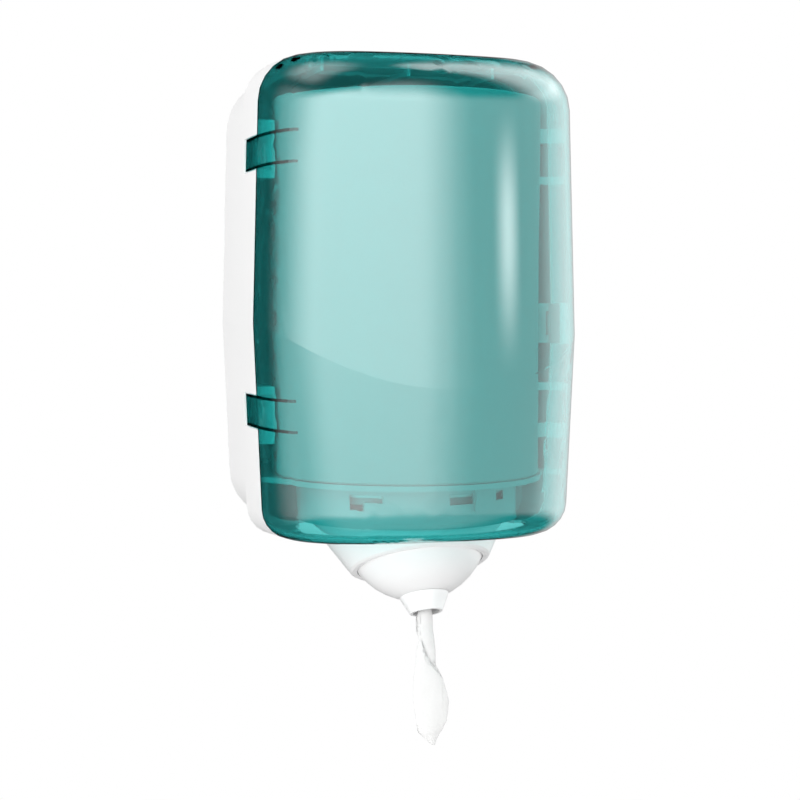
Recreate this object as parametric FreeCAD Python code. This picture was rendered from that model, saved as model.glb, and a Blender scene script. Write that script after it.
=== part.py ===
import FreeCAD, Part
import math
import os

os.makedirs("parts", exist_ok=True)

V = FreeCAD.Vector
X_AXIS = V(1, 0, 0)
Y_AXIS = V(0, 1, 0)
Z_AXIS = V(0, 0, 1)

# Wall-hung centrefeed roll dispenser, in millimetres.
# Origin: centre of the four wall screws, on the wall face. +Z up, +Y into the wall, +X right.

# Paper roll and the room around it
roll_d = 140.0
roll_len = 192.0
roll_hole_d = 44.0
roll_chamfer = 1.2
roll_back_gap = 5.5
roll_side_gap = 10.9
roll_front_gap = 11.5
roll_top_gap = 19.3

# Wall screws
screw_spacing_x = 108.0
screw_spacing_z = 162.0
screw_hole_d = 5.2
shelf_below_screws = 32.3

# Mouldings
housing_t = 2.5
cover_t = 2.5
seam_gap = 1.0
seam_ahead = 6.0
skirt_len = 35.0
nozzle_bay_h = 29.7
top_edge_r = 24.0
bottom_edge_r = 15.5
top_fall_front = 9.0
top_rise_back = 3.2
floor_slope = 0.066

# Recessed back part of the housing, against the wall
tub_inset = 1.4
tub_top_drop = 0.6
tub_bottom_rise = 1.0
tub_top_r = 32.0
tub_bottom_r = 28.0

# The bulge: the upper faces lean out, the lower faces lean in, and they cross in a crease
upper_lean = 0.027
lower_lean = 0.042
crease_side_h = 78.3
crease_front_h = 47.3
plan_fullness = 0.66
plan_spans = 3
rim_steps = 5
rim_step_angle = 15.6

# Hinge
hinge_spacing = 130.9
hinge_mid_z = -14.6
hinge_behind_seam = 20.8
strap_h = 16.6
strap_reach = 38.7
fin_t = 1.4
fin_depth = 2.0
knuckle_r = 3.4
pin_r = 1.5
pin_clearance = 0.06
pin_end_margin = 1.0
pocket_clearance = 1.7
pocket_z_clearance = 0.5
pocket_behind = 7.4
pocket_wall = 1.2
ear_outer = 8.0
ear_inner = 4.6

# Shelf and swivel
shelf_t = 2.7
shelf_side_gap = 0.3
ledge_t = 3.0
ledge_w = 3.2
ledge_behind_seam = 4.0
wing_behind_seam = 2.0
wing_angle = 17.0
throat_inside_drum = 4.3
throat_t = 3.0
throat_len = 9.0
swivel_gap = 0.3
drum_r = 57.5
drum_t = 2.2
drum_web_t = 2.2
drum_flange_w = 6.0
drum_flange_t = 2.0
drum_flare = 0.7
drum_flare_h = 3.0
drum_above_floor = 6.0
keeper_w = 3.2
keeper_t = 2.4
keeper_fit = 0.05
opening_clearance = 2.0
cover_swing_clearance = 6.0
boss_r = 4.5
boss_x = 66.0
boss_from_wall = 14.0
shelf_screw_r = 1.6
shelf_screw_len = 12.0
screw_head_r = 3.4
screw_head_h = 2.2
screw_head_chamfer = 0.8

# Windows round the front of the drum: left edge, right edge, depth below the web
drum_windows = [(-42.0, -28.0, 3.6), (-42.0, -36.0, 8.0), (4.0, 17.5, 5.0), (31.5, 37.5, 4.5)]
window_below_web = 1.0
grip_left = 18.0
grip_right = 31.0
grip_h = 12.2
grip_proud = 1.6
grip_root = 0.5

# Tilted nozzle, about an axis that leans forward and crosses the swivel axis
nozzle_tilt = 24.8
axis_cross_above_shelf = 4.0
collar_rim_s = 55.1
collar_rim_r = 35.65
collar_half_angle = 31.0
collar_t = 2.4
rim_chamfer = 0.9
seat_depth = 3.0
seat_r = 32.6
seat_ledge_w = 2.0
dome_gap = 0.3
dome_t = 2.0
dome_edge_h = 2.4
dome_h = 16.4
dome_steps = 5
spout_top_r = 12.6
spout_end_r = 8.35
spout_len = 9.3
spout_t = 1.5
spout_lip = 0.6
neck_gap = 0.3
neck_len = 1.5
brake_t = 1.6
brake_hole_r = 3.2

# Latch
latch_z = -35.5
latch_h = 21.0
latch_wall = 1.3
latch_roll_gap = 1.8
button_behind_axis = 17.5
button_y_size = 12.0
button_z_size = 15.0
button_corner_r = 3.0
button_proud = 2.2
button_flange = 0.6
button_gap = 0.3
stop_t = 1.5
pawl_t = 1.2
pawl_z_size = 9.0
pawl_overlap = 3.0
stem_y_size = 8.0
lip_t = 1.5
lip_z_size = 10.5
lip_from_wall = 0.5
lip_reach = 8.0
lip_swing_gap = 1.0
catch_len = 20.0
catch_t = 2.0
fit_gap = 0.05
leaf_t = 0.5
leaf_w = 8.0
leaf_half_span = 4.0

# Ceiling ribs of the housing
rib_t = 1.5
rib_h = 3.0
rib_pitch = 46.5
rib_behind_seam = 2.0

# Paper tail: below the spout it hangs folded, half opened, and ends in a torn tip
tail_len = 68.4
tail_turn = -17.5
tail_brake_gap = 0.3
tail_edge_t = 0.8
tail_bends = 5

# Its sections: share of the length, width, offset, fullness in front and behind
tail_sections = [
    (0.00, 6.2, -0.2, 2.7, 2.7),
    (0.13, 8.5, -1.1, 2.6, 2.0),
    (0.20, 7.6, 0.2, 2.8, 1.6),
    (0.28, 10.3, -0.2, 2.6, 1.2),
    (0.39, 10.8, -0.3, 2.4, 0.6),
    (0.50, 15.4, 0.8, 2.4, -0.3),
    (0.66, 18.0, 1.9, 2.4, -0.6),
    (0.82, 15.2, 2.2, 2.2, -0.6),
    (0.90, 12.6, 1.4, 2.0, -0.5),
    (0.95, 6.8, 2.2, 1.4, 0.1),
    (1.00, 2.0, 3.6, 0.9, 0.5),
]

# Places worked out from the sizes above
roll_r = roll_d / 2
roll_hole_r = roll_hole_d / 2
axis_y = -(housing_t + roll_back_gap + roll_r)
seam_y = axis_y - seam_ahead
cover_y = seam_y - seam_gap
step_y = seam_y + skirt_len
shelf_z = -screw_spacing_z / 2 - shelf_below_screws
shelf_low_z = shelf_z - shelf_t
roll_top_z = shelf_z + roll_len
top_z = roll_top_z + roll_top_gap + housing_t
floor_z = shelf_z - nozzle_bay_h
bottom_z = floor_z - housing_t
half_w = roll_r + roll_side_gap + housing_t
depth = roll_r - seam_ahead + roll_front_gap + cover_t
front_y = seam_y - depth
crease_side_z = shelf_z + crease_side_h
crease_front_z = shelf_z + crease_front_h
tub_top_z = top_z - tub_top_drop
tub_bottom_z = bottom_z + tub_bottom_rise
opening_r = drum_r + opening_clearance
throat_out_r = drum_r - drum_t - throat_inside_drum
throat_r = throat_out_r - throat_t

# Room beyond the body for the forms that it is cut from
MARGIN = 30.0
FAR = 400.0
form_back_y = step_y + MARGIN
form_front_y = front_y - MARGIN / 5


def box(x0, x1, y0, y1, z0, z1):
    return Part.makeBox(x1 - x0, y1 - y0, z1 - z0, V(x0, y0, z0))


def cylinder(r, z0, z1, x=0.0, y=axis_y):
    return Part.makeCylinder(r, z1 - z0, V(x, y, z0), Z_AXIS)


def tube(r_out, r_in, z0, z1):
    return cylinder(r_out, z0, z1).cut(cylinder(r_in, z0 - MARGIN, z1 + MARGIN))


def revolve_upright(points, x=0.0, y=axis_y):
    """Solid turned about an upright axis from (radius, height) points."""
    placed = [V(x + r, y, z) for r, z in points + points[:1]]
    return Part.Face(Part.makePolygon(placed)).revolve(V(x, y, 0), Z_AXIS, 360)


def side_half_width(z):
    """Half the body's width beside the seam, at height z."""
    upper = half_w - upper_lean * (z - crease_side_z)
    lower = half_w + lower_lean * (z - crease_side_z)
    return min(upper, lower)


def bottom_at(y):
    """Height of the underside, which rises towards the front."""
    return bottom_z - floor_slope * (y - seam_y)


def side_arc():
    """Side view of the domed top: it rises behind the seam and falls towards the front."""
    back = V(0, form_back_y, top_z + top_rise_back)
    front = V(0, form_front_y, top_z - top_fall_front)
    return Part.Arc(back, V(0, seam_y, top_z), front)


def chord_at(y):
    """Straight line in side view between the two ends of the domed top."""
    share = (y - form_front_y) / (form_back_y - form_front_y)
    return top_z - top_fall_front + share * (top_fall_front + top_rise_back)


def top_at(y):
    """Height of the domed top, from the circle through its three points."""
    circle = side_arc().toShape().Curve
    centre = circle.Center
    return centre.z + math.sqrt(circle.Radius ** 2 - (y - centre.y) ** 2)


def crease_at(y):
    """Height of the crease at the outline's corner points: high at the sides, low in front."""
    return crease_side_z if y > front_y + depth / 5 else crease_front_z


def curve_spans(poles):
    """Smooth curve through the first and last pole, as edges that share its run evenly."""
    edges = []
    for i in range(plan_spans):
        span = Part.BezierCurve()
        span.setPoles(poles)
        span.segment(i / plan_spans, (i + 1) / plan_spans)
        edges.append(span.toShape())
    return edges


def plan_wire(w, d, height_at):
    """Outline seen from above, at a height that may change with y: straight behind the seam, curved in front."""
    k = plan_fullness

    def point(x, y):
        return V(x, y, height_at(y))

    left = point(-w, seam_y)
    right = point(w, seam_y)
    front = point(0, seam_y - d)
    back_left = point(-w, form_back_y)
    back_right = point(w, form_back_y)
    left_poles = [left, point(-w, seam_y - k * d), point(-k * w, seam_y - d), front]
    right_poles = [front, point(k * w, seam_y - d), point(w, seam_y - k * d), right]
    return Part.Wire([
        Part.makeLine(back_left, left),
        *curve_spans(left_poles),
        *curve_spans(right_poles),
        Part.makeLine(right, back_right),
        Part.makeLine(back_right, back_left),
    ])


def edge_rings(lean, inset, edge_r, face_at, plane_at, up):
    """Outlines round the top's or bottom's rounded edge, from the side wall to just past the end face.

    The side draws in by `lean` per millimetre, face_at gives the end face's height and plane_at a flat cut
    past it, and up is 1 for the top and -1 for the bottom.
    """
    r = edge_r - inset

    def ring(draw, height_at):
        w = half_w - inset - draw - lean * (height_at(seam_y) - crease_side_z)
        d = depth - inset - draw - lean * (height_at(front_y) - crease_front_z)
        return plan_wire(w, d, height_at)

    wires = []
    for i in range(rim_steps + 1):
        angle = math.radians(i * rim_step_angle)
        drop = inset + r * (1 - math.sin(angle))
        wires.append(ring(r * (1 - math.cos(angle)), lambda y, drop=drop: face_at(y) - up * drop))
    wires.append(ring(r + MARGIN / 2, lambda y: plane_at(y) + up * MARGIN / 6))
    return wires


def side_profile(inset):
    """The body's domed top and sloping bottom, drawn in side view and run across the width."""
    arc = side_arc().toShape()
    arc.translate(V(-FAR, 0, -inset))
    top_back, top_front = (arc.valueAt(p) for p in (arc.FirstParameter, arc.LastParameter))
    if top_back.y < top_front.y:
        top_back, top_front = top_front, top_back
    low_front = V(-FAR, form_front_y, bottom_at(form_front_y) + inset)
    low_back = V(-FAR, form_back_y, bottom_at(form_back_y) + inset)
    wire = Part.Wire([
        arc,
        Part.makeLine(top_front, low_front),
        Part.makeLine(low_front, low_back),
        Part.makeLine(low_back, top_back),
    ])
    return Part.Face(wire).extrude(V(2 * FAR, 0, 0))


def body(inset=0.0):
    """Outer form of cover and housing skirt in one, shrunk by `inset` for the inside."""
    low = edge_rings(-lower_lean, inset, bottom_edge_r, bottom_at, bottom_at, -1)
    crease = plan_wire(half_w - inset, depth - inset, crease_at)
    top = edge_rings(upper_lean, inset, top_edge_r, top_at, chord_at, 1)
    return Part.makeLoft(low[::-1] + [crease] + top, True, True).common(side_profile(inset))


def tub(inset, y0, y1):
    """The recessed back part: it follows the body's sides and has larger corners."""
    low = tub_bottom_z + inset
    top = tub_top_z - inset
    side = tub_inset + inset
    right = [V(side_half_width(z) - side, y0, z) for z in (low, crease_side_z, top)]
    left = [V(-p.x, y0, p.z) for p in reversed(right)]
    outline = right + left
    prism = Part.Face(Part.makePolygon(outline + outline[:1])).extrude(V(0, y1 - y0, 0))
    for z, r in ((top, tub_top_r), (low, tub_bottom_r)):
        corners = [
            e for e in prism.Edges
            if all(abs(v.Z - z) < fit_gap for v in e.Vertexes) and abs(e.Length - abs(y1 - y0)) < fit_gap
        ]
        prism = prism.makeFillet(r - inset, corners)
    return prism


outer_form = body()
housing_inner_form = body(housing_t)
cover_inner_form = body(cover_t)


# Hinge: two straps of the cover reach back round the seam to upright pins in the housing
strap_mids = (hinge_mid_z + hinge_spacing / 2, hinge_mid_z - hinge_spacing / 2)
strap_side = min(side_half_width(z + s * strap_h / 2) for z in strap_mids for s in (-1, 1))
hinge_x = -(strap_side - knuckle_r)
hinge_y = seam_y + hinge_behind_seam
pocket_x = hinge_x + knuckle_r + pocket_clearance
ear_x = pocket_x + pocket_wall
pocket_y = hinge_y + pocket_behind
ear_y = pocket_y + pocket_wall


def strap_limits(mid):
    return mid - strap_h / 2, mid + strap_h / 2


def ear_limits(mid):
    """The longer ear of each block is the one nearer the end of the housing."""
    low, high = strap_limits(mid)
    if mid > hinge_mid_z:
        return low - ear_inner, high + ear_outer
    return low - ear_outer, high + ear_inner


def hinge_block(mid):
    """Moulded block behind the seam on the left, and the pocket that a strap turns in."""
    low, high = ear_limits(mid)
    strap_low, strap_high = strap_limits(mid)
    block = box(-FAR, ear_x, seam_y, ear_y, low, high).common(outer_form)
    pocket = box(
        -FAR, pocket_x, seam_y - seam_gap, pocket_y,
        strap_low - pocket_z_clearance, strap_high + pocket_z_clearance,
    )
    return block, pocket


def hinge_pin(mid, grow=0.0):
    low, high = strap_limits(mid)
    reach = ear_inner - pin_end_margin + grow
    return cylinder(pin_r + grow, low - reach, high + reach, hinge_x, hinge_y)


# Right side: room for the latch
latch_low = latch_z - latch_h / 2
latch_high = latch_z + latch_h / 2
latch_x = roll_r + latch_roll_gap
latch_room_x = latch_x + latch_wall
button_y = axis_y + button_behind_axis
latch_back_y = button_y + button_y_size / 2 + 2 * button_flange + latch_wall
wall_in_x = min(side_half_width(latch_low), side_half_width(latch_high)) - housing_t
wall_out_x = side_half_width(latch_z)
lip_x1 = wall_in_x - lip_from_wall
lip_x0 = lip_x1 - lip_t
pawl_x1 = lip_x0 - lip_swing_gap
pawl_x0 = pawl_x1 - pawl_t


def button_prism(x0, x1, grow=0.0):
    """Rounded block along X, the section of the button's cap."""
    y_half = button_y_size / 2 + grow
    z_half = button_z_size / 2 + grow
    prism = box(x0, x1, button_y - y_half, button_y + y_half, latch_z - z_half, latch_z + z_half)
    long_edges = [e for e in prism.Edges if abs(e.tangentAt(e.FirstParameter).x) > 0.9]
    return prism.makeFillet(button_corner_r + grow, long_edges)


def make_back_housing():
    skirt = outer_form.common(box(-FAR, FAR, seam_y, step_y, -FAR, FAR))
    skirt_room = housing_inner_form.common(box(-FAR, FAR, seam_y - MARGIN, step_y - housing_t, -FAR, FAR))
    block = skirt.fuse(tub(0, step_y - housing_t, 0))
    shell = block.cut(skirt_room).cut(tub(housing_t, seam_y, -housing_t))

    for mid in strap_mids:
        ears, pocket = hinge_block(mid)
        blind = ears.cut(pocket.common(housing_inner_form)).mirror(V(0, 0, 0), X_AXIS)
        shell = shell.fuse(ears).cut(pocket).cut(hinge_pin(mid, fit_gap)).fuse(blind)

    for side in (-1, 1):
        edge = half_w - housing_t - ledge_w
        ledge = box(
            edge, FAR, seam_y + ledge_behind_seam, step_y - housing_t / 2,
            shelf_low_z - ledge_t, shelf_low_z,
        ).common(outer_form)
        if side < 0:
            ledge = ledge.mirror(V(0, 0, 0), X_AXIS)
        boss = cylinder(boss_r, tub_bottom_z, shelf_low_z, side * boss_x, -boss_from_wall)
        boss = boss.common(tub(housing_t / 2, step_y, 0))
        shell = shell.fuse(ledge).fuse(boss)

    for i in (-1, 0, 1):
        x = i * rib_pitch
        rib = box(
            x - rib_t / 2, x + rib_t / 2, seam_y + rib_behind_seam, -housing_t / 2,
            tub_top_z - housing_t - rib_h, top_z + MARGIN,
        )
        shell = shell.fuse(rib.common(block))

    shell = shell.cut(cylinder(opening_r, bottom_z - MARGIN, floor_z + drum_above_floor))
    for side in (-1, 1):
        x, y = side * boss_x, -boss_from_wall
        shell = shell.cut(cylinder(shelf_screw_r, shelf_z - shelf_screw_len, shelf_z, x, y))
        for level in (-1, 1):
            start = V(side * screw_spacing_x / 2, -2 * housing_t, level * screw_spacing_z / 2)
            shell = shell.cut(Part.makeCylinder(screw_hole_d / 2, 3 * housing_t, start, Y_AXIS))
    button_hole = button_prism(wall_in_x - stop_t, wall_out_x + stop_t, button_gap)
    return shell.cut(button_hole).removeSplitter()


def make_cover_shell():
    in_front = box(-FAR, FAR, -FAR, cover_y, -FAR, FAR)
    shell = outer_form.cut(cover_inner_form).common(in_front)
    way_out_r = drum_r + cover_swing_clearance
    shell = shell.cut(cylinder(way_out_r, bottom_z - MARGIN, floor_z + drum_above_floor))
    skin = outer_form.cut(cover_inner_form)
    finned = outer_form.cut(body(cover_t + fin_depth))
    for mid in strap_mids:
        low, high = strap_limits(mid)
        web = skin.common(box(-FAR, hinge_x + knuckle_r, cover_y - 1, hinge_y + knuckle_r, low, high))
        shell = shell.fuse(web).fuse(cylinder(knuckle_r, low, high, hinge_x, hinge_y))
        for z in (low, high - fin_t):
            fin = finned.common(box(-FAR, 0, seam_y - strap_reach, hinge_y, z, z + fin_t))
            shell = shell.fuse(fin)
        shell = shell.cut(cylinder(pin_r + pin_clearance, low - 1, high + 1, hinge_x, hinge_y))
    return shell.removeSplitter()


def make_cover_catch():
    """Plate on the inside of the cover's free edge, with the lip that reaches to the latch."""
    seat = body(cover_t + fit_gap)
    zone = box(half_w / 2, FAR, cover_y - catch_len, cover_y, latch_low, latch_high)
    plate = seat.cut(body(cover_t + fit_gap + catch_t)).common(zone)
    z0, z1 = latch_z - lip_z_size / 2, latch_z + lip_z_size / 2
    lip = box(lip_x0, lip_x1, cover_y - catch_t, seam_y + lip_reach, z0, z1)
    root = box(lip_x0, FAR, cover_y - catch_t, cover_y, z0, z1).common(seat)
    return plate.fuse(lip).fuse(root).removeSplitter()


def make_latch_block():
    """Five-sided box against the housing's wall, with a slot at the seam for the cover's lip."""
    block = box(latch_x, FAR, seam_y, latch_back_y, latch_low, latch_high)
    block = block.common(body(housing_t + fit_gap))
    room = box(
        latch_room_x, FAR, seam_y + latch_wall, latch_back_y - latch_wall,
        latch_low + latch_wall, latch_high - latch_wall,
    )
    half_slot = lip_z_size / 2 + lip_swing_gap
    slot = box(
        lip_x0 - lip_swing_gap, FAR, seam_y - 1, seam_y + 2 * latch_wall,
        latch_z - half_slot, latch_z + half_slot,
    )
    return block.cut(room).cut(slot)


def make_release_button():
    stop_x1 = wall_in_x - button_gap
    stop_x0 = stop_x1 - stop_t
    y_half = button_y_size / 2 + button_flange
    z_half = button_z_size / 2 + button_flange
    cap = button_prism(stop_x0, wall_out_x + button_proud)
    stop = box(stop_x0, stop_x1, button_y - y_half, button_y + y_half, latch_z - z_half, latch_z + z_half)
    pawl_low, pawl_high = latch_z - pawl_z_size / 2, latch_z + pawl_z_size / 2
    stem = box(
        pawl_x0, stop_x0, button_y - stem_y_size / 2, button_y + stem_y_size / 2, pawl_low, pawl_high
    )
    pawl = box(pawl_x0, pawl_x1, seam_y + lip_reach - pawl_overlap, button_y, pawl_low, pawl_high)
    return cap.fuse(stop).fuse(stem).fuse(pawl).removeSplitter()


def make_return_spring():
    """Bent leaf of spring steel between the block's wall and the button's stem."""
    x0, x1 = latch_room_x, pawl_x0
    span = leaf_half_span
    outline = [
        V(x0, button_y - span, 0),
        V(x1, button_y - leaf_t, 0),
        V(x1, button_y + leaf_t, 0),
        V(x0, button_y + span, 0),
        V(x0, button_y + span - 2 * leaf_t, 0),
        V(x1 - leaf_t, button_y, 0),
        V(x0, button_y - span + 2 * leaf_t, 0),
    ]
    leaf = Part.Face(Part.makePolygon(outline + outline[:1])).extrude(V(0, 0, leaf_w))
    leaf.translate(V(0, 0, latch_z - leaf_w / 2))
    return leaf


def make_roll_shelf():
    """Shelf that the roll stands on, with wings to the side walls and a throat for the swivel."""
    meet_x = roll_r * math.cos(math.radians(wing_angle))
    meet_y = axis_y - roll_r * math.sin(math.radians(wing_angle))
    wing_x = side_half_width(shelf_z) - housing_t - shelf_side_gap
    wing_y = seam_y + wing_behind_seam
    wing_back_y = step_y - housing_t - shelf_side_gap
    outline = [
        V(-wing_x, wing_y, shelf_low_z), V(-meet_x, meet_y, shelf_low_z), V(meet_x, meet_y, shelf_low_z),
        V(wing_x, wing_y, shelf_low_z), V(FAR, wing_back_y, shelf_low_z), V(-FAR, wing_back_y, shelf_low_z),
    ]
    wings = Part.Face(Part.makePolygon(outline + outline[:1])).extrude(V(0, 0, shelf_t))
    wings = wings.common(body(housing_t + shelf_side_gap))
    back = box(-FAR, FAR, wing_back_y - housing_t, -housing_t, shelf_low_z, shelf_z)
    back = back.common(tub(housing_t + shelf_side_gap, seam_y, -housing_t))
    throat = cylinder(throat_out_r, shelf_low_z - throat_len, shelf_low_z)
    plate = cylinder(roll_r, shelf_low_z, shelf_z).fuse(wings).fuse(back).fuse(throat)
    plate = plate.cut(cylinder(throat_r, shelf_low_z - MARGIN, shelf_z + MARGIN))
    for side in (-1, 1):
        hole = cylinder(
            shelf_screw_r, shelf_low_z - MARGIN, shelf_z + MARGIN, side * boss_x, -boss_from_wall
        )
        plate = plate.cut(hole)
    return plate.removeSplitter()


def make_shelf_screws():
    top = shelf_z + screw_head_h
    profile = [
        (0, shelf_z - shelf_screw_len), (shelf_screw_r, shelf_z - shelf_screw_len),
        (shelf_screw_r, shelf_z), (screw_head_r, shelf_z),
        (screw_head_r, top - screw_head_chamfer), (screw_head_r - screw_head_chamfer, top), (0, top),
    ]
    screws = [revolve_upright(profile, side * boss_x, -boss_from_wall) for side in (-1, 1)]
    return Part.makeCompound(screws)


def make_paper_roll():
    c = roll_chamfer
    return revolve_upright([
        (roll_hole_r, shelf_z), (roll_r - c, shelf_z), (roll_r, shelf_z + c),
        (roll_r, roll_top_z - c), (roll_r - c, roll_top_z), (roll_hole_r, roll_top_z),
    ])


# Swivel: the drum's web turns on the shelf's throat and is held up by the keeper ring
web_top_z = shelf_low_z - swivel_gap
web_low_z = web_top_z - drum_web_t
keeper_top_z = web_low_z - swivel_gap
drum_low_z = floor_z + drum_above_floor
window_top_z = web_low_z - window_below_web


def make_turntable_drum():
    inner_r = drum_r - drum_t
    drum = revolve_upright([
        (throat_out_r + swivel_gap, web_top_z),
        (drum_r, web_top_z),
        (drum_r, drum_low_z + drum_flare_h),
        (drum_r + drum_flare, drum_low_z),
        (inner_r - drum_flange_w, drum_low_z),
        (inner_r - drum_flange_w, drum_low_z + drum_flange_t),
        (inner_r, drum_low_z + drum_flange_t),
        (inner_r, web_low_z),
        (throat_out_r + swivel_gap, web_low_z),
    ])
    front = axis_y - drum_r - grip_proud
    for x0, x1, h in drum_windows:
        drum = drum.cut(box(x0, x1, front, axis_y, window_top_z - h, window_top_z))
    grip = tube(drum_r + grip_proud, drum_r - grip_root, web_top_z - grip_h, web_top_z)
    grip = grip.common(box(grip_left, grip_right, front, axis_y, -FAR, FAR))
    return drum.fuse(grip).removeSplitter()


def make_keeper_ring():
    return tube(throat_out_r + keeper_w, throat_out_r + keeper_fit, keeper_top_z - keeper_t, keeper_top_z)


# Nozzle frame: distances s are measured along the tilted axis from where it crosses the swivel axis
tilt = math.radians(nozzle_tilt)
nozzle_dir = V(0, -math.sin(tilt), -math.cos(tilt))
nozzle_origin = V(0, axis_y, shelf_z + axis_cross_above_shelf)
dome_base_s = collar_rim_s - seat_depth
dome_top_s = dome_base_s + dome_edge_h
dome_r = seat_r - dome_gap
spout_top_s = dome_top_s + dome_h
spout_end_s = spout_top_s + spout_len
hole_r = spout_top_r - spout_t
neck_r = hole_r - neck_gap

# The dome is part of a sphere through its straight edge and through the spout's top
dome_centre_s = (spout_top_r ** 2 + spout_top_s ** 2 - dome_r ** 2 - dome_top_s ** 2) / (
    2 * (spout_top_s - dome_top_s)
)
dome_outer_radius = math.hypot(dome_r, dome_top_s - dome_centre_s)
hole_outer_s = dome_centre_s + math.sqrt(dome_outer_radius ** 2 - hole_r ** 2)
spout_seat_s = hole_outer_s + fit_gap


def rod(r, s0, s1):
    return Part.makeCylinder(r, s1 - s0, nozzle_origin + nozzle_dir * s0, nozzle_dir)


def stacked(points):
    """Solid through circles about the tilted axis, from (radius, distance) points, with straight sides between."""
    rings = [Part.Wire(Part.makeCircle(r, nozzle_origin + nozzle_dir * s, nozzle_dir)) for r, s in points]
    return Part.makeLoft(rings, True, True)


def collar_r(s):
    return collar_rim_r + (collar_rim_s - s) * math.tan(math.radians(collar_half_angle))


def make_nozzle_collar():
    """Cone about the tilted axis, trimmed by the drum's width, with a seat for the dome."""
    s1 = collar_rim_s
    wall = collar_t / math.cos(math.radians(collar_half_angle))
    ledge_s = dome_base_s - seat_ledge_w
    outer = stacked([(collar_r(0), 0), (collar_r(s1 - rim_chamfer), s1 - rim_chamfer), (collar_rim_r - rim_chamfer, s1)])
    below_drum = cylinder(drum_r, drum_low_z - FAR, drum_low_z)
    room = stacked([(collar_r(-1) - wall, -1), (collar_r(ledge_s) - wall, ledge_s)])
    ledge_hole = rod(seat_r - seat_ledge_w, ledge_s - seat_ledge_w, s1)
    seat = rod(seat_r, dome_base_s, s1 + 1)
    return outer.common(below_drum).cut(room).cut(ledge_hole).cut(seat).removeSplitter()


def sphere_points(radius, s0, s1, steps):
    """Points (radius, distance) along the dome's round side, evenly spaced by angle."""
    first = math.acos((s0 - dome_centre_s) / radius)
    last = math.acos((s1 - dome_centre_s) / radius)
    angles = [first + (last - first) * i / steps for i in range(steps + 1)]
    return [(radius * math.sin(a), dome_centre_s + radius * math.cos(a)) for a in angles]


def make_nozzle_dome():
    """Shallow cap of a sphere with a straight edge and a hole for the spout."""
    inner_radius = dome_outer_radius - dome_t
    hole_inner_s = dome_centre_s + math.sqrt(inner_radius ** 2 - hole_r ** 2)
    outside = sphere_points(dome_outer_radius, dome_top_s, hole_outer_s, dome_steps)
    inside = sphere_points(inner_radius, dome_top_s, hole_inner_s, dome_steps)
    dome = stacked([(dome_r, dome_base_s)] + outside)
    room = stacked([(inside[0][0], dome_base_s - 1)] + inside)
    return dome.cut(room).cut(rod(hole_r, dome_top_s, spout_end_s))


def make_nozzle_spout():
    """Short tapered spout whose neck stands in the dome's hole."""
    s0, neck_s = spout_seat_s, spout_top_s - neck_len
    bore_r = neck_r - spout_t
    taper = stacked([(spout_top_r, s0), (spout_top_r - spout_lip, s0 + spout_t), (spout_end_r, spout_end_s)])
    bore = stacked([(bore_r, s0 + spout_t), (spout_end_r - spout_t, spout_end_s)])
    spout = taper.fuse(rod(neck_r, neck_s, s0 + spout_t))
    return spout.cut(bore).cut(rod(bore_r, neck_s - 1, s0 + spout_t)).removeSplitter()


def make_paper_brake():
    """Soft ring above the spout that grips the paper, so that one sheet tears off."""
    s1 = spout_top_s - neck_len
    s0 = s1 - brake_t
    return rod(neck_r, s0, s1).cut(rod(brake_hole_r, s0 - 1, s1 + 1))


def tail_wire(share, width, offset, front, behind):
    """Level outline of the folded paper: a bowed front, a bowed back and two thin edges."""
    turn = math.radians(tail_turn)
    along = V(math.cos(turn), math.sin(turn), 0)
    forward = V(math.sin(turn), -math.cos(turn), 0)
    end = nozzle_origin + nozzle_dir * spout_end_s
    centre = V(end.x, end.y, end.z - share * tail_len) + along * offset

    def point(u, v):
        return centre + along * u + forward * v

    w, t = width / 2, tail_edge_t / 2
    bowed_front = Part.Arc(point(-w, t), point(0, front), point(w, t)).toShape()
    bowed_back = Part.Arc(point(w, -t), point(0, -behind), point(-w, -t)).toShape()
    corners = bowed_front.discretize(tail_bends) + bowed_back.discretize(tail_bends)
    return Part.makePolygon(corners + corners[:1])


def make_paper_tail():
    """Paper drawn from the roll's centre through the brake, and its end that hangs free."""
    strand_r = brake_hole_r - tail_brake_gap
    strand = rod(strand_r, 0, spout_end_s)
    hanging = Part.makeLoft([tail_wire(*section) for section in tail_sections], True, True)
    return strand.fuse(hanging)


parts = {
    "back_housing": make_back_housing(),
    "hinge_pin_upper": hinge_pin(strap_mids[0]),
    "hinge_pin_lower": hinge_pin(strap_mids[1]),
    "roll_shelf": make_roll_shelf(),
    "shelf_screws": make_shelf_screws(),
    "keeper_ring": make_keeper_ring(),
    "latch_block": make_latch_block(),
    "return_spring": make_return_spring(),
    "release_button": make_release_button(),
    "cover_shell": make_cover_shell(),
    "cover_catch": make_cover_catch(),
    "paper_roll": make_paper_roll(),
    "turntable_drum": make_turntable_drum(),
    "nozzle_collar": make_nozzle_collar(),
    "nozzle_dome": make_nozzle_dome(),
    "nozzle_spout": make_nozzle_spout(),
    "paper_brake": make_paper_brake(),
    "paper_tail": make_paper_tail(),
}

for name, shape in parts.items():
    shape.exportStep("parts/%s.step" % name)
    print(name, len(shape.Solids), "solid", round(shape.Volume), "mm3, valid", shape.isValid())
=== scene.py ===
# %% [markdown]
# A wall-hung centrefeed roll dispenser: a white housing, a clear turquoise cover that bulges forward and
# folds in again below a crease, a big paper roll inside, and a white nozzle under it that the paper is
# pulled from. The CAD model gives every rigid shape. This lesson adds the photograph's camera, the
# studio, the finishes, and the pieces that CAD leaves plain: the wound roll and the folded end of the
# paper.

# %% Load the frame and measure the CAD box
import bmesh
import bpy
import math
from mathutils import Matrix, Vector, noise


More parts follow.
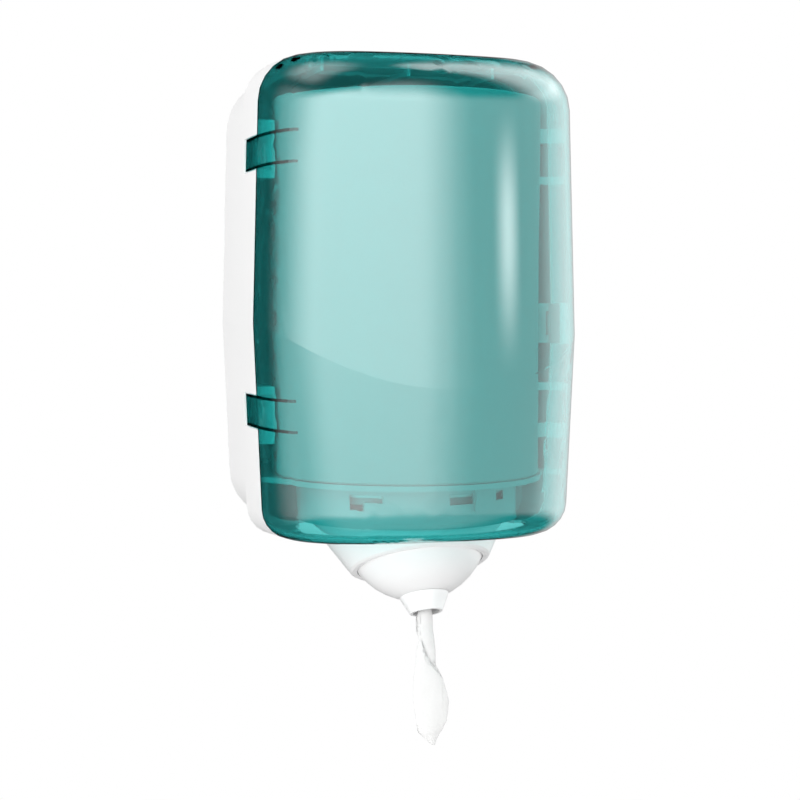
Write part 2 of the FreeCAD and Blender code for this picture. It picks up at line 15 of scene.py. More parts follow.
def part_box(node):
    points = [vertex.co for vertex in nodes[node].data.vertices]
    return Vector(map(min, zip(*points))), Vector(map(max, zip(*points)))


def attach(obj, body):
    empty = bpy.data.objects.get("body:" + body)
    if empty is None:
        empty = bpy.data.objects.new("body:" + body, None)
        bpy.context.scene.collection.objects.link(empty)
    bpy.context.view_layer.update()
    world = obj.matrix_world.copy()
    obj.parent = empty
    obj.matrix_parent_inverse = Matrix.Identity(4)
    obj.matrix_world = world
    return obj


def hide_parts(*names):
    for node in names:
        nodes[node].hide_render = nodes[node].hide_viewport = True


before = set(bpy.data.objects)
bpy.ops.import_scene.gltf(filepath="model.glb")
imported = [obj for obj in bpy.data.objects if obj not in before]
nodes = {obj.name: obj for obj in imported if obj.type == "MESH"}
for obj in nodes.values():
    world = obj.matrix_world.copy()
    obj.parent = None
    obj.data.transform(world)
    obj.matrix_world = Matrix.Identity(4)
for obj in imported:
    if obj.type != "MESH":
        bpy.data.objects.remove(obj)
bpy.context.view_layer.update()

# %% [markdown]
# The photograph looks slightly down at the dispenser from its left. The camera's place, turn and focal
# length were found by fitting known points of the object to the picture, so it is written down as it is
# and not guessed by eye. No shift and no depth of field are needed.

# %% Camera
camera_data = bpy.data.cameras.new("photo_camera")
camera_data.sensor_width = 36.0
camera_data.lens = 72.638
camera_data.clip_start = 0.01
camera_data.clip_end = 200.0
camera = bpy.data.objects.new("photo_camera", camera_data)
camera.location = (-0.2577, -0.8840, -0.0260)
camera.rotation_euler = (math.radians(86.6403), 0.0, math.radians(-17.5056))
bpy.context.scene.collection.objects.link(camera)
bpy.context.scene.camera = camera
print("camera", tuple(camera.location), "lens", camera_data.lens)

# %% [markdown]
# Every finish is a tree of shader nodes. Most steps in such a tree add a node with its values, link two
# sockets, or do a sum on a socket, so each of those is a small function. One more gives the smooth step
# between two values, which is what masks and the soft edges of lights are made of.

# %% Small helpers for node trees
def new_tree(name):
    """A material with an empty node tree, and the node that ends it."""
    material = bpy.data.materials.new(name)
    material.use_nodes = True
    tree = material.node_tree
    tree.nodes.clear()
    out = tree.nodes.new("ShaderNodeOutputMaterial")
    return material, tree, out


def add(tree, kind, inputs=None, **settings):
    """A node with its settings and its unlinked input values."""
    node = tree.nodes.new("ShaderNode" + kind)
    for name, value in settings.items():
        setattr(node, name, value)
    for name, value in (inputs or {}).items():
        node.inputs[name].default_value = value
    return node


def link(tree, source, target):
    tree.links.new(source, target)


def calc(tree, operation, first, second=None):
    """The output of a Math node on sockets or plain numbers."""
    node = add(tree, "Math", operation=operation)
    for place_in_node, value in enumerate((first, second)):
        if isinstance(value, (int, float)):
            node.inputs[place_in_node].default_value = value
        elif value is not None:
            link(tree, value, node.inputs[place_in_node])
    return node.outputs["Value"]


def rise(tree, source, start, end):
    """0 before start, 1 after end, and smooth between. With start above end it falls instead."""
    node = add(tree, "MapRange", {"From Min": start, "From Max": end}, interpolation_type="SMOOTHSTEP")
    link(tree, source, node.inputs["Value"])
    return node.outputs["Result"]


def seen_by_eye(tree, seen):
    """1 for a ray from the camera or through a clear piece, where seen is the tree's Light Path node."""
    return calc(tree, "MAXIMUM", seen.outputs["Is Camera Ray"], seen.outputs["Is Transmission Ray"])


print("helpers ready")

# %% [markdown]
# The floor's paint is pale and matt. The eye sees it almost evenly white, and quite evenly white far off,
# while light still bounces off it and its shadow stays visible.

# %% Floor paint
WHITE = (1.0, 1.0, 1.0, 1.0)
GLOW_SHARE = 0.90
FAR_START = 1.0
FAR_END = 3.0
floor_paint, tree, out = new_tree("floor_paint")
grain = add(tree, "TexNoise", {"Scale": 6.0, "Detail": 4.0})
place = add(tree, "TexCoord")
tone = add(tree, "MapRange", {"From Min": 0.3, "From Max": 0.7, "To Min": 0.80, "To Max": 0.84})
tint = add(tree, "CombineColor")
matt = add(tree, "BsdfDiffuse")
glow = add(tree, "Emission", {"Color": WHITE, "Strength": 1.0})
seen = add(tree, "LightPath")
blend = add(tree, "MixShader")
reach = add(tree, "VectorMath", operation="LENGTH")
link(tree, place.outputs["Object"], reach.inputs[0])
far_off = rise(tree, reach.outputs["Value"], FAR_START, FAR_END)
evened = calc(tree, "ADD", GLOW_SHARE, calc(tree, "MULTIPLY", far_off, 1.0 - GLOW_SHARE))
link(tree, place.outputs["Object"], grain.inputs["Vector"])
link(tree, grain.outputs["Fac"], tone.inputs["Value"])
for channel in ("Red", "Green", "Blue"):
    link(tree, tone.outputs["Result"], tint.inputs[channel])
link(tree, tint.outputs["Color"], matt.inputs["Color"])
link(tree, calc(tree, "MULTIPLY", seen_by_eye(tree, seen), evened), blend.inputs["Fac"])
link(tree, matt.outputs["BSDF"], blend.inputs[1])
link(tree, glow.outputs["Emission"], blend.inputs[2])
link(tree, blend.outputs["Shader"], out.inputs["Surface"])
print("floor paint", floor_paint.name)

# %% [markdown]
# The dispenser hangs well above the floor, as it would on a wall, so its shadow falls out of the picture.
# A single big square made by a bmesh grid is enough. It stays out of mirror reflections, which have a
# studio of their own.

# %% Floor
FLOOR_Z = -1.15
FLOOR_HALF = 30.0


def new_piece(name, shape, finish):
    """An object at the origin whose mesh is this bmesh, which ends here."""
    mesh = bpy.data.meshes.new(name)
    shape.to_mesh(mesh)
    shape.free()
    mesh.materials.append(finish)
    piece = bpy.data.objects.new(name, mesh)
    bpy.context.scene.collection.objects.link(piece)
    return piece


shape = bmesh.new()
bmesh.ops.create_grid(shape, x_segments=1, y_segments=1, size=FLOOR_HALF)
bmesh.ops.translate(shape, verts=shape.verts, vec=(0.0, 0.0, FLOOR_Z))
floor = new_piece("floor", shape, floor_paint)
floor.visible_glossy = False
print("floor at", FLOOR_Z)

# %% [markdown]
# The world does two jobs. To the camera, and through the clear cover, it is the white background. For
# mirror reflections it is a photo studio, because clear plastic is drawn by what it mirrors. Its lights
# are placed by azimuth, which is 0 straight in front and 90 at the right side, and by elevation. A third
# angle leans inwards above and below, as the left edge of the pale glow does in the photograph.

# %% Directions in the studio
LEAN_BELOW = 1.5
LEAN_ABOVE = 1.9
LEAN_FROM = 8.0
world = bpy.data.worlds.new("studio")
bpy.context.scene.world = world
world.use_nodes = True
tree = world.node_tree
tree.nodes.clear()
way = add(tree, "TexCoord")
parts = add(tree, "SeparateXYZ")
link(tree, way.outputs["Generated"], parts.inputs["Vector"])
toward_front = calc(tree, "MULTIPLY", parts.outputs["Y"], -1.0)
azimuth = calc(tree, "DEGREES", calc(tree, "ARCTAN2", parts.outputs["X"], toward_front))
elevation = calc(tree, "DEGREES", calc(tree, "ARCSINE", parts.outputs["Z"]))
how_high = calc(tree, "MAXIMUM", calc(tree, "SUBTRACT", elevation, LEAN_FROM), 0.0)
below = calc(tree, "MULTIPLY", calc(tree, "MINIMUM", elevation, 0.0), LEAN_BELOW)
above = calc(tree, "MULTIPLY", how_high, LEAN_ABOVE)
leaning = calc(tree, "SUBTRACT", calc(tree, "ADD", azimuth, below), above)
print("directions ready")

# %% [markdown]
# Each soft box is a smooth window in these angles, placed by where its reflection lies in the photograph:
# a weak one for the room all round, a very wide one at the front left for the pale glow, a small one at
# the front right for the short upright highlight, one along the right side, two for the rounded top
# corners, and a weak one below for the lower rim. To the far left the room is dark.

# %% Soft boxes that only mirror reflections see
ROOM = 1.3
GLOW = 4.1
HIGHLIGHT = 4.4
SIDE_BOX = 0.9
CORNER_BOX = 2.6
TOP_BOX = 1.3
LOW_BOX = 0.8


def window(*edges):
    """A soft-edged window: the product of one rise or fall for each (angle, start, end)."""
    result = 1.0
    for angle, start, end in edges:
        result = calc(tree, "MULTIPLY", result, rise(tree, angle, start, end))
    return result


level = [(elevation, -34.0, -16.0), (elevation, 35.0, 16.0)]
glow_height = [(elevation, -46.0, 27.0), (elevation, 62.0, 25.0), (elevation, -45.0, -22.0)]
highlight_height = [(elevation, 0.0, 5.5), (elevation, 10.5, 6.0)]
corner_height = [(elevation, 15.0, 30.0), (elevation, 88.0, 75.0)]
top_height = [(elevation, 30.0, 50.0), (elevation, 85.0, 65.0)]
low_height = [(elevation, -80.0, -58.0), (elevation, -20.0, -34.0)]
soft_boxes = [
    (ROOM, window((azimuth, -146.0, -104.0), (azimuth, 178.0, 110.0), *level)),
    (GLOW, window((leaning, -121.0, -76.0), (azimuth, 28.0, 1.0), *glow_height)),
    (HIGHLIGHT, window((azimuth, 34.0, 44.0), (azimuth, 54.0, 43.0), *highlight_height)),
    (SIDE_BOX, window((azimuth, 66.0, 88.0), (azimuth, 135.0, 95.0), *level)),
    (CORNER_BOX, window((azimuth, 52.0, 85.0), (azimuth, 150.0, 110.0), *corner_height)),
    (TOP_BOX, window((azimuth, -172.0, -135.0), (azimuth, -75.0, -105.0), *top_height)),
    (LOW_BOX, window((azimuth, -95.0, -55.0), (azimuth, 60.0, 25.0), *low_height)),
]
studio = 0.0
for strength, shape_of_box in soft_boxes:
    studio = calc(tree, "ADD", studio, calc(tree, "MULTIPLY", shape_of_box, strength))
print("soft boxes", len(soft_boxes))

# %% [markdown]
# Now each kind of ray gets its own picture of the world: mirror reflections the studio, diffuse surfaces
# an even grey fill, and the eye plain white. The colours are shown as they are, with the Standard view
# transform.

# %% What each kind of ray sees
FILL = 0.68
out = tree.nodes.new("ShaderNodeOutputWorld")
seen = add(tree, "LightPath")
fill_light = add(tree, "Background", {"Color": WHITE, "Strength": FILL})
studio_light = add(tree, "Background", {"Color": WHITE})
white_light = add(tree, "Background", {"Color": WHITE, "Strength": 1.0})
glossy_mix = add(tree, "MixShader")
white_mix = add(tree, "MixShader")
link(tree, studio, studio_light.inputs["Strength"])
link(tree, seen.outputs["Is Glossy Ray"], glossy_mix.inputs["Fac"])
link(tree, fill_light.outputs["Background"], glossy_mix.inputs[1])
link(tree, studio_light.outputs["Background"], glossy_mix.inputs[2])
link(tree, seen_by_eye(tree, seen), white_mix.inputs["Fac"])
link(tree, glossy_mix.outputs["Shader"], white_mix.inputs[1])
link(tree, white_light.outputs["Background"], white_mix.inputs[2])
link(tree, white_mix.outputs["Shader"], out.inputs["Surface"])
bpy.context.scene.view_settings.view_transform = "Standard"
print("world fill", FILL)

# %% [markdown]
# The lamps give the soft, nearly even light of a product photograph, a little stronger from the front
# left. Mirror reflections already have the world's soft boxes, so the lamps don't show in them.

# %% Lamps
LAMP_TARGET = Vector((0.0, -0.085, 0.0))


def lamp(name, azimuth, height, distance, size, strength):
    """An area lamp that faces the dispenser. Azimuth 0 is straight in front, 90 its right side."""
    turn = math.radians(azimuth)
    tilt = math.radians(height)
    way_out = Vector((math.sin(turn) * math.cos(tilt), -math.cos(turn) * math.cos(tilt), math.sin(tilt)))
    data = bpy.data.lights.new(name, "AREA")
    data.shape = "RECTANGLE"
    data.size = size[0]
    data.size_y = size[1]
    data.energy = strength * math.pi * size[0] * size[1]
    obj = bpy.data.objects.new(name, data)
    obj.location = LAMP_TARGET + way_out * distance
    obj.rotation_euler = way_out.to_track_quat("Z", "Y").to_euler()
    obj.visible_camera = False
    obj.visible_transmission = False
    obj.visible_glossy = False
    bpy.context.scene.collection.objects.link(obj)


lamp("soft_box_left", azimuth=-48.0, height=4.0, distance=1.1, size=(1.5, 1.5), strength=1.9)
lamp("soft_box_right", azimuth=80.0, height=4.0, distance=1.0, size=(1.3, 1.6), strength=0.8)
lamp("soft_box_top", azimuth=10.0, height=78.0, distance=1.0, size=(1.1, 0.9), strength=1.4)

# %% [markdown]
# Two effects are shared by all the moulded plastic. The first is the relief of a moulding, as a height
# for bump: the very fine texture that a spark-eroded mould leaves, on top of broad waves in the wall. It
# is a node group with its own inputs, so every plastic sets its own scale and strength.

# %% Shared group for the mould's texture
WAVE_HEIGHT = 6.0


def group(name, inputs, outputs):
    """An empty node group with named inputs and outputs, and its input and output nodes."""
    tree = bpy.data.node_groups.new(name, "ShaderNodeTree")
    for label, value in inputs:
        socket = tree.interface.new_socket(label, in_out="INPUT", socket_type="NodeSocketFloat")
        socket.default_value = value
    for label in outputs:
        tree.interface.new_socket(label, in_out="OUTPUT", socket_type="NodeSocketFloat")
    return tree, tree.nodes.new("NodeGroupInput"), tree.nodes.new("NodeGroupOutput")


mould_texture, g_in, g_out = group("mould_texture", [("Scale", 2600.0), ("Waves", 18.0)], ["Height"])
where = add(mould_texture, "TexCoord")
fine = add(mould_texture, "TexNoise", {"Detail": 3.0, "Roughness": 0.6})
broad = add(mould_texture, "TexNoise", {"Detail": 1.0})
sum_up = add(mould_texture, "Math", {1: WAVE_HEIGHT}, operation="MULTIPLY_ADD")
link(mould_texture, where.outputs["Object"], fine.inputs["Vector"])
link(mould_texture, where.outputs["Object"], broad.inputs["Vector"])
link(mould_texture, g_in.outputs["Scale"], fine.inputs["Scale"])
link(mould_texture, g_in.outputs["Waves"], broad.inputs["Scale"])
link(mould_texture, broad.outputs["Fac"], sum_up.inputs[0])
link(mould_texture, fine.outputs["Fac"], sum_up.inputs[2])
link(mould_texture, sum_up.outputs["Value"], g_out.inputs["Height"])
print("group", mould_texture.name)

# %% [markdown]
# The second is use: handling dulls the gloss in soft patches, and dust settles on what faces up. The same
# cloudy noise drives both, so a duller patch is also a dustier one.

# %% Shared group for handling and dust
NOISE_MIDDLE = 0.5
handling, g_in, g_out = group(
    "handling",
    [("Base", 0.35), ("Spread", 0.06), ("Scale", 22.0)],
    ["Roughness", "Dust"],
)
where = add(handling, "TexCoord")
cloud = add(handling, "TexNoise", {"Detail": 5.0, "Roughness": 0.55})
spread = add(handling, "Math", operation="MULTIPLY_ADD")
facing = add(handling, "NewGeometry")
upward = add(handling, "SeparateXYZ")
settled = add(handling, "MapRange", {"From Min": 0.55, "From Max": 1.0})
link(handling, where.outputs["Object"], cloud.inputs["Vector"])
link(handling, g_in.outputs["Scale"], cloud.inputs["Scale"])
link(handling, calc(handling, "SUBTRACT", cloud.outputs["Fac"], NOISE_MIDDLE), spread.inputs[0])
link(handling, g_in.outputs["Spread"], spread.inputs[1])
link(handling, g_in.outputs["Base"], spread.inputs[2])
link(handling, spread.outputs["Value"], g_out.inputs["Roughness"])
link(handling, facing.outputs["Normal"], upward.inputs["Vector"])
link(handling, upward.outputs["Z"], settled.inputs["Value"])
dusty = calc(handling, "MULTIPLY", settled.outputs["Result"], cloud.outputs["Fac"])
link(handling, dusty, g_out.inputs["Dust"])
print("groups", [g.name for g in bpy.data.node_groups])

# %% [markdown]
# The opaque mouldings share one recipe: a base colour that turns to a darker shade where dust settles,
# roughness from the handling group and a bump from the mould texture. A function builds it, so each piece
# only states its colour, gloss and texture.

# %% Opaque moulded plastic
DUST_SHOWN = 0.25
MOULD_DEPTH = 0.00004


def two_tones(tree, plain, other):
    """A mix of two colours, whose factor is still to be linked."""
    return add(tree, "Mix", {"A": (*plain, 1.0), "B": (*other, 1.0)}, data_type="RGBA")


def moulded(name, colour, shade, roughness, spread, bump):
    """A moulded plastic with its own colour, gloss and texture."""
    material, tree, out = new_tree(name)
    surface = add(tree, "BsdfPrincipled", {"IOR": 1.5, "Specular IOR Level": 0.5})
    wear = add(tree, "Group", {"Base": roughness, "Spread": spread}, node_tree=handling)
    skin = add(tree, "Group", node_tree=mould_texture)
    tint = two_tones(tree, colour, shade)
    relief = add(tree, "Bump", {"Strength": bump, "Distance": MOULD_DEPTH})
    link(tree, calc(tree, "MULTIPLY", wear.outputs["Dust"], DUST_SHOWN), tint.inputs["Factor"])
    link(tree, tint.outputs["Result"], surface.inputs["Base Color"])
    link(tree, wear.outputs["Roughness"], surface.inputs["Roughness"])
    link(tree, skin.outputs["Height"], relief.inputs["Height"])
    link(tree, relief.outputs["Normal"], surface.inputs["Normal"])
    link(tree, surface.outputs["BSDF"], out.inputs["Surface"])
    return material


housing_plastic = moulded("housing_plastic", colour=(0.89, 0.89, 0.89), shade=(0.76, 0.76, 0.75),
                          roughness=0.42, spread=0.10, bump=0.35)
nozzle_plastic = moulded("nozzle_plastic", colour=(0.87, 0.87, 0.87), shade=(0.76, 0.76, 0.75),
                         roughness=0.30, spread=0.08, bump=0.15)
drum_plastic = moulded("drum_plastic", colour=(0.56, 0.57, 0.57), shade=(0.48, 0.49, 0.49),
                       roughness=0.40, spread=0.08, bump=0.25)
soft_plastic = moulded("soft_plastic", colour=(0.10, 0.10, 0.105), shade=(0.16, 0.16, 0.16),
                       roughness=0.60, spread=0.10, bump=0.40)
print("opaque plastics", housing_plastic.name, nozzle_plastic.name, drum_plastic.name, soft_plastic.name)

# %% [markdown]
# The cover's hinge straps end in thin fins. Seen edge-on, their free edges collect the tint of their
# whole depth and look like nearly black lines. That darkness is painted on as painted shade: a near-black
# colour on a mask on the four heights of the fins, beside the roll and behind the fins' tips.

# %% Mask for the shade painted on the fins of the hinge straps
STRAP_MIDS = (0.05085, -0.08005)
FIN_OFFSET = 0.0076
FIN_HALF = 0.0007
FIN_TIP_Y = -0.1227
FIN_INNER_X = -0.050
FIN_FADE = 0.001


def painted_fin_shade_mask(tree):
    """1 on the fins' free edges, where near-black shade is painted, 0 elsewhere."""
    place = add(tree, "TexCoord")
    where = add(tree, "SeparateXYZ")
    link(tree, place.outputs["Object"], where.inputs["Vector"])
    on_fin = 0.0
    for fin_z in [mid + side * FIN_OFFSET for mid in STRAP_MIDS for side in (-1, 1)]:
        off = calc(tree, "ABSOLUTE", calc(tree, "SUBTRACT", where.outputs["Z"], fin_z))
        on_fin = calc(tree, "ADD", on_fin, rise(tree, off, FIN_HALF * 1.3, FIN_HALF * 0.8))
    beside = rise(tree, where.outputs["X"], FIN_INNER_X, FIN_INNER_X - FIN_FADE)
    behind_tip = rise(tree, where.outputs["Y"], FIN_TIP_Y, FIN_TIP_Y + FIN_FADE)
    return calc(tree, "MULTIPLY", on_fin, calc(tree, "MULTIPLY", beside, behind_tip))


print("fins at", [round(mid + side * FIN_OFFSET, 5) for mid in STRAP_MIDS for side in (-1, 1)])

# %% [markdown]
# The cover is clear plastic, tinted partly at its skin and partly in its mass, so it gets darker where
# more of it is looked through: along the rim and at the bottom edge. That is what volume absorption does.
# Plain glass throws soft light about too slowly to render clean, so rays from lamps and bounces pass it
# as if it were only tinted, while the eye still sees it bend and mirror.

# %% Clear cover plastic
SKIN_TINT = (0.38, 0.82, 0.815)
MASS_TINT = (0.0, 0.79, 0.78)
# painted shade: a near-black colour for the fins' free edges, standing in for the darkness of their depth
FIN_PAINTED_SHADE = (0.0, 0.05, 0.05)
cover_plastic, tree, out = new_tree("cover_plastic")
surface = add(tree, "BsdfPrincipled", {
    "Roughness": 0.02,
    "IOR": 1.585,
    "Transmission Weight": 1.0,
    "Coat Weight": 1.0,
    "Coat Roughness": 0.04,
    "Coat IOR": 1.5,
})
open_way = add(tree, "BsdfTransparent", {"Color": (*[math.sqrt(c) for c in SKIN_TINT], 1.0)})
seen = add(tree, "LightPath")
pick = add(tree, "MixShader")
mass = add(tree, "VolumeAbsorption", {"Color": (*MASS_TINT, 1.0), "Density": 330.0})
waves = add(tree, "Group", {"Scale": 30.0, "Waves": 9.0}, node_tree=mould_texture)
relief = add(tree, "Bump", {"Strength": 0.015, "Distance": 0.0002})
# painted shade: the cover's colour turns near-black on the fins' free edges
tint = two_tones(tree, SKIN_TINT, FIN_PAINTED_SHADE)
soft_light = calc(tree, "MAXIMUM", seen.outputs["Is Shadow Ray"], seen.outputs["Is Diffuse Ray"])
link(tree, painted_fin_shade_mask(tree), tint.inputs["Factor"])
link(tree, tint.outputs["Result"], surface.inputs["Base Color"])
link(tree, waves.outputs["Height"], relief.inputs["Height"])
link(tree, relief.outputs["Normal"], surface.inputs["Normal"])
link(tree, soft_light, pick.inputs["Fac"])
link(tree, surface.outputs["BSDF"], pick.inputs[1])
link(tree, open_way.outputs["BSDF"], pick.inputs[2])
link(tree, pick.outputs["Shader"], out.inputs["Surface"])
link(tree, mass.outputs["Volume"], out.inputs["Volume"])
print("clear plastic", cover_plastic.name)

# %% [markdown]
# Pins, screws and the return spring are plain zinc-plated steel. A little noise in the roughness and tone
# keeps them from looking like chrome.

# %% Steel
steel, tree, out = new_tree("steel")
surface = add(tree, "BsdfPrincipled", {"Metallic": 1.0})
wear = add(tree, "Group", {"Base": 0.32, "Spread": 0.2, "Scale": 180.0}, node_tree=handling)
tint = two_tones(tree, (0.60, 0.61, 0.62), (0.44, 0.44, 0.45))
link(tree, wear.outputs["Roughness"], surface.inputs["Roughness"])
link(tree, wear.outputs["Dust"], tint.inputs["Factor"])
link(tree, tint.outputs["Result"], surface.inputs["Base Color"])
link(tree, surface.outputs["BSDF"], out.inputs["Surface"])
print("steel ready")

# %% [markdown]
# Soft white tissue paper is matt and slightly uneven in tone where the fibres clump, with a fine bump.
# The wound roll is painted greyer than the paper, as painted shade for the dim light behind the tinted
# cover.

# %% Paper
CLUMP_TONE = 0.94
FIBRE_DEPTH = 0.0003


def paper_material(name, colour, fibre_scale, bump):
    """Matt paper with its own colour and fibres."""
    material, tree, out = new_tree(name)
    surface = add(tree, "BsdfPrincipled", {"Roughness": 0.95, "Specular IOR Level": 0.15})
    place = add(tree, "TexCoord")
    fibres = add(tree, "TexNoise", {"Scale": fibre_scale, "Detail": 6.0, "Roughness": 0.65})
    tint = two_tones(tree, [c * CLUMP_TONE for c in colour], colour)
    relief = add(tree, "Bump", {"Strength": bump, "Distance": FIBRE_DEPTH})
    link(tree, place.outputs["Object"], fibres.inputs["Vector"])
    link(tree, fibres.outputs["Fac"], tint.inputs["Factor"])
    link(tree, fibres.outputs["Fac"], relief.inputs["Height"])
    link(tree, tint.outputs["Result"], surface.inputs["Base Color"])
    link(tree, relief.outputs["Normal"], surface.inputs["Normal"])
    link(tree, surface.outputs["BSDF"], out.inputs["Surface"])
    return material


paper = paper_material("paper", colour=(0.79, 0.79, 0.785), fibre_scale=900.0, bump=0.4)
# painted shade: the roll's white paper is made grey to stand for the dim light behind the cover
wound_paper_painted_shade = paper_material("wound_paper_painted_shade", colour=(0.53, 0.53, 0.525), fibre_scale=700.0, bump=0.35)
print("papers", paper.name, wound_paper_painted_shade.name)

# %% [markdown]
# The wound roll's flat ends show the edges of its layers, hundreds of thin rings. A pattern on the
# distance from the roll's middle draws them, and the surface's own normal limits it to the ends. Its
# outside has only the paper's soft fibres.

# %% Rings on the wound paper
ROLL_CENTRE = (0.0, -0.078, 0.0)
RING_TONE = (0.50, 0.50, 0.49)
tree = wound_paper_painted_shade.node_tree
surface = next(n for n in tree.nodes if n.type == "BSDF_PRINCIPLED")
plain_tint = surface.inputs["Base Color"].links[0].from_socket
place = add(tree, "TexCoord")
centred = add(tree, "VectorMath", {1: ROLL_CENTRE}, operation="SUBTRACT")
flat = add(tree, "VectorMath", {1: (1.0, 1.0, 0.0)}, operation="MULTIPLY")
radius = add(tree, "VectorMath", operation="LENGTH")
rings = add(tree, "TexNoise", {"Scale": 2400.0, "Detail": 2.0}, noise_dimensions="1D")
facing = add(tree, "NewGeometry")
upright = add(tree, "SeparateXYZ")
layered = add(tree, "Mix", {"B": (*RING_TONE, 1.0)}, data_type="RGBA")
link(tree, place.outputs["Object"], centred.inputs[0])
link(tree, centred.outputs["Vector"], flat.inputs[0])
link(tree, flat.outputs["Vector"], radius.inputs[0])
link(tree, radius.outputs["Value"], rings.inputs["W"])
link(tree, facing.outputs["Normal"], upright.inputs["Vector"])
on_ends = rise(tree, calc(tree, "ABSOLUTE", upright.outputs["Z"]), 0.35, 0.6)
dark_rings = rise(tree, rings.outputs["Fac"], 0.45, 0.7)
link(tree, calc(tree, "MULTIPLY", on_ends, dark_rings), layered.inputs["Factor"])
link(tree, plain_tint, layered.inputs["A"])
link(tree, layered.outputs["Result"], surface.inputs["Base Color"])
print("rings ready")

# %% [markdown]
# The CAD pieces already carry the names of their finishes, so each finish goes into the slot of its name.
# The tray under the roll is of the housing's kind in CAD, but behind the cover it is as grey as the drum
# below it, so it takes the drum's plastic.

# %% Give every CAD node its finish
finishes = {
    "housing_plastic": housing_plastic,
    "cover_plastic": cover_plastic,
    "nozzle_plastic": nozzle_plastic,
    "drum_plastic": drum_plastic,
    "steel": steel,
    "paper": paper,
    "soft_plastic": soft_plastic,
}
for name, node in nodes.items():
    for place_in_list, old in enumerate(node.data.materials):
        slot_name = old.name.split(".")[0]
        finish = drum_plastic if name == "roll_shelf" else finishes[slot_name]
        node.data.materials[place_in_list] = finish
print("finished nodes", len(nodes))

# %% [markdown]
# The big mouldings have rounded rims that CAD builds from narrow straight strips, so their shading shows
# a step at each strip. A real moulding has none. Each is copied, its triangles are joined, every edge
# under the limit is shaded smooth, and large faces are given more say over the shared normals, so that
# flat walls stay flat. The crease of the bulge turns by only four degrees, but it is a real edge, so it
# is found by the way its walls face and marked sharp.

# %% Smooth copies of the big mouldings
SMOOTH_LIMIT = math.radians(40.0)
MERGE_GAP = 0.000005
SLIVER = 0.000002
LEAST_TILT = 0.01
MOST_TILT = 0.15


def crosses_crease(edge):
    """True where a wall that faces slightly up meets one that faces slightly down."""
    a, b = (face.normal.z for face in edge.link_faces)
    return a * b < 0.0 and all(LEAST_TILT < abs(tilt) < MOST_TILT for tilt in (a, b))


def smooth_copy(node_name, body, finish):
    """A joined and smoothly shaded copy that stands for the CAD node."""
    shape = bmesh.new()
    shape.from_mesh(nodes[node_name].data)
    bmesh.ops.remove_doubles(shape, verts=shape.verts, dist=MERGE_GAP)
    bmesh.ops.dissolve_degenerate(shape, edges=shape.edges, dist=SLIVER)
    for face in shape.faces:
        face.smooth = True
    closed = [edge for edge in shape.edges if len(edge.link_faces) == 2]
    for edge in closed:
        edge.smooth = edge.calc_face_angle() < SMOOTH_LIMIT and not crosses_crease(edge)
    open_edges = len(shape.edges) - len(closed)
    creases = sum(1 for edge in closed if crosses_crease(edge))
    piece = new_piece("smooth_" + node_name, shape, finish)
    own_normals = piece.data.attributes.get("custom_normal")
    if own_normals:
        piece.data.attributes.remove(own_normals)
    by_size = piece.modifiers.new("by_size", "WEIGHTED_NORMAL")
    by_size.keep_sharp = True
    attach(piece, body)
    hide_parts(node_name)
    faces = len(piece.data.polygons)
    print(piece.name, faces, "faces,", open_edges, "open edges,", creases, "crease edges")


smooth_copy("cover_shell", "cover", cover_plastic)
smooth_copy("back_housing", "housing", housing_plastic)
smooth_copy("nozzle_dome", "nozzle", nozzle_plastic)

# %% [markdown]
# A centrefeed roll has no core: the paper is pulled from the middle of the winding. So the roll is one
# turned shape. Its outline is drawn once in the XZ plane, with shallow ridges on both ends for the
# layers, and spun round the roll's axis.

# %% Paper roll
ROLL_R = 0.070
HOLE_R = 0.022
EDGE = 0.0012
RIDGES = 18
RIDGE_H = 0.0005
SIDE_ROWS = 12
SPIN_STEPS = 144
roll_low, roll_high = (corner[2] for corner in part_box("paper_roll"))


def end_points(z, inward):
    """Ridges from the hole out to the rounded edge of an end face."""
    width = ROLL_R - EDGE - HOLE_R
    return [
        (HOLE_R + width * i / (2 * RIDGES), z + inward * (RIDGE_H if i % 2 else 0.0))
        for i in range(2 * RIDGES + 1)
    ]


side_len = roll_high - roll_low - 2 * EDGE
side = [(ROLL_R, roll_high - EDGE - side_len * i / SIDE_ROWS) for i in range(SIDE_ROWS + 1)]
outline = end_points(roll_high, -1) + side + end_points(roll_low, 1)[::-1]
shape = bmesh.new()
ring = [shape.verts.new((r, ROLL_CENTRE[1], z)) for r, z in outline]
for i, vert in enumerate(ring):
    shape.edges.new((vert, ring[(i + 1) % len(ring)]))
bmesh.ops.spin(shape, geom=shape.verts[:] + shape.edges[:], cent=ROLL_CENTRE, axis=(0.0, 0.0, 1.0),
               dvec=(0.0, 0.0, 0.0), angle=math.tau, steps=SPIN_STEPS, use_merge=True)
bmesh.ops.remove_doubles(shape, verts=shape.verts, dist=0.000001)
bmesh.ops.recalc_face_normals(shape, faces=shape.faces)
print("roll", len(shape.faces), "faces, height", round(roll_high - roll_low, 4))

# %% [markdown]
# A machine-wound roll is never quite true. Its outer layer runs out in a small step, its side has a faint
# ripple, and its ends are slightly sunk in rings. Every move goes inwards, so the roll keeps its space.

# %% Unevenness of the winding
LAP_AT = math.radians(60.0)
LAP_H = 0.0005
RIPPLE_H = 0.0003
SUNK_H = 0.0004
ROLL_SHARP = math.radians(30.0)
middle = (roll_low + roll_high) / 2
near_end = (roll_high - roll_low) / 2 - EDGE / 2


def soft_noise(x, y, z):
    """Smooth noise from 0 to 1."""
    return 0.5 + 0.5 * noise.noise(Vector((x, y, z)))


